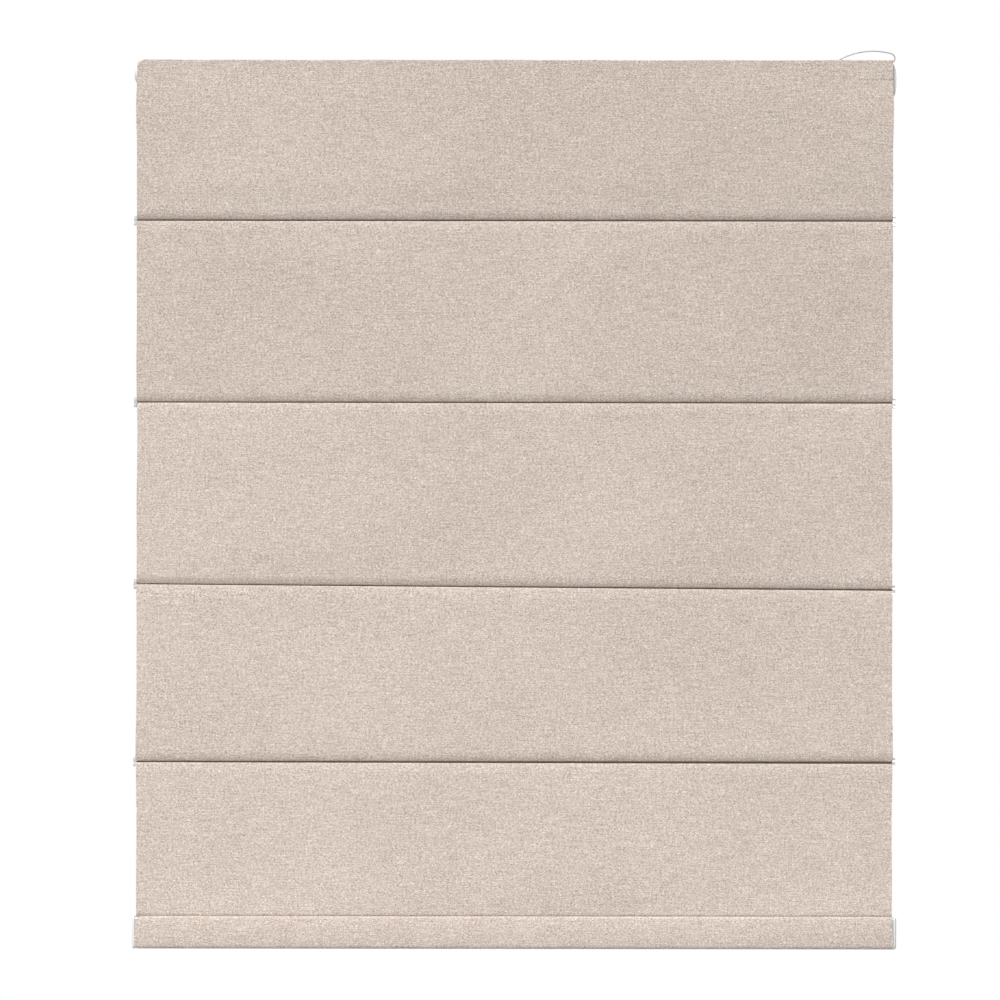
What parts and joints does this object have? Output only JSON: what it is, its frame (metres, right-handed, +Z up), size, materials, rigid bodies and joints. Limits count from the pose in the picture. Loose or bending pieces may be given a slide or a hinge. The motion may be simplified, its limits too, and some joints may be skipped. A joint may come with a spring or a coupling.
{
  "type": "roman blind",
  "caption": "Roman blind with flat cloth panels joined by slim battens with clear ends, a cloth-covered bottom rail, and a wall-mounted headrail with a cord-loop drive that lifts it.",
  "frame": {"origin": "centre of the four wall screw holes, on the wall plane", "axes": "X along the width, to the right seen from the front; Y towards the wall, so the cloth faces -Y; Z up"},
  "size_m": [1.2149, 0.0619, 1.4328],
  "materials": {
    "cloth": "oatmeal linen-look weave",
    "strip": "hook and loop pile",
    "cord": "braided",
    "white_plastic": "fine moulded",
    "clear_plastic": "clear",
    "batten_plastic": "smoke brown",
    "rail_finish": "white powder coat",
    "bracket_paint": "satin powder coat",
    "rail_aluminium": "mill",
    "steel": "zinc plated"
  },
  "bodies": {
    "headrail": {"head_rail": "rail_finish", "hook_strip": "strip", "loop_strip": "strip", "idle_end_cap": "white_plastic", "control_housing": "white_plastic", "control_core": "white_plastic", "brake_spring": "steel", "wall_bracket_1": "bracket_paint", "wall_bracket_2": "bracket_paint", "clamp_screws": "steel", "clamp_nuts": "steel", "spool_cradle_1": "white_plastic", "spool_cradle_2": "white_plastic", "spool_cradle_3": "white_plastic", "lift_cord_1": "cord", "lift_cord_2": "cord", "lift_cord_3": "cord", "control_cord": "cord", "fabric_panel_1": "cloth"},
    "drive": {"drive_shaft": "rail_aluminium", "cord_wheel": "white_plastic", "lift_spool_1": "white_plastic", "lift_spool_2": "white_plastic", "lift_spool_3": "white_plastic"},
    "batten_carrier_1": {"batten_1": "batten_plastic", "batten_caps_1": "clear_plastic", "edge_rods_1": "white_plastic", "cord_eyes_1": "clear_plastic", "fabric_panel_2": "cloth"},
    "batten_carrier_2": {"batten_2": "batten_plastic", "batten_caps_2": "clear_plastic", "edge_rods_2": "white_plastic", "cord_eyes_2": "clear_plastic", "fabric_panel_3": "cloth"},
    "batten_carrier_3": {"batten_3": "batten_plastic", "batten_caps_3": "clear_plastic", "edge_rods_3": "white_plastic", "cord_eyes_3": "clear_plastic", "fabric_panel_4": "cloth"},
    "batten_carrier_4": {"batten_4": "batten_plastic", "batten_caps_4": "clear_plastic", "edge_rods_4": "white_plastic", "cord_eyes_4": "clear_plastic", "fabric_panel_5": "cloth"},
    "bottom_bar": {"bottom_rail": "rail_aluminium", "bottom_rail_cover": "cloth", "bottom_cap_left": "white_plastic", "bottom_cap_right": "white_plastic", "bottom_rod": "white_plastic", "cord_anchors": "clear_plastic"}
  },
  "joints": [
    {"name": "bottom_rail_lift", "type": "slide", "parent": "headrail", "child": "bottom_bar", "axis": [0, 0, 1], "range_m": [0, 1.2019], "deforming": ["lift_cord_1", "lift_cord_2", "lift_cord_3"]},
    {"name": "batten_1_lift", "type": "slide", "parent": "headrail", "child": "batten_carrier_1", "axis": [0, 0, 1], "range_m": [0, 0.1843], "deforming": ["fabric_panel_1", "fabric_panel_2"]},
    {"name": "batten_2_lift", "type": "slide", "parent": "headrail", "child": "batten_carrier_2", "axis": [0, 0, 1], "range_m": [0, 0.4494], "deforming": ["fabric_panel_3"]},
    {"name": "batten_3_lift", "type": "slide", "parent": "headrail", "child": "batten_carrier_3", "axis": [0, 0, 1], "range_m": [0, 0.7184], "deforming": ["fabric_panel_4"]},
    {"name": "batten_4_lift", "type": "slide", "parent": "headrail", "child": "batten_carrier_4", "axis": [0, 0, 1], "range_m": [0, 0.9725], "deforming": ["fabric_panel_5"]},
    {"name": "drive_turn", "type": "hinge", "parent": "headrail", "child": "drive", "pos_m": [0, -0.034, 0], "axis": [1, 0, 0], "range_deg": [0, 8613]}
  ],
  "couplings": [
    {"joint": "batten_1_lift", "follows": "bottom_rail_lift", "ratio": 0.15296},
    {"joint": "batten_2_lift", "follows": "bottom_rail_lift", "ratio": 0.3735},
    {"joint": "batten_3_lift", "follows": "bottom_rail_lift", "ratio": 0.59731},
    {"joint": "batten_4_lift", "follows": "bottom_rail_lift", "ratio": 0.80869},
    {"joint": "drive_turn", "follows": "bottom_rail_lift", "rad_per_m": 125}
  ]
}
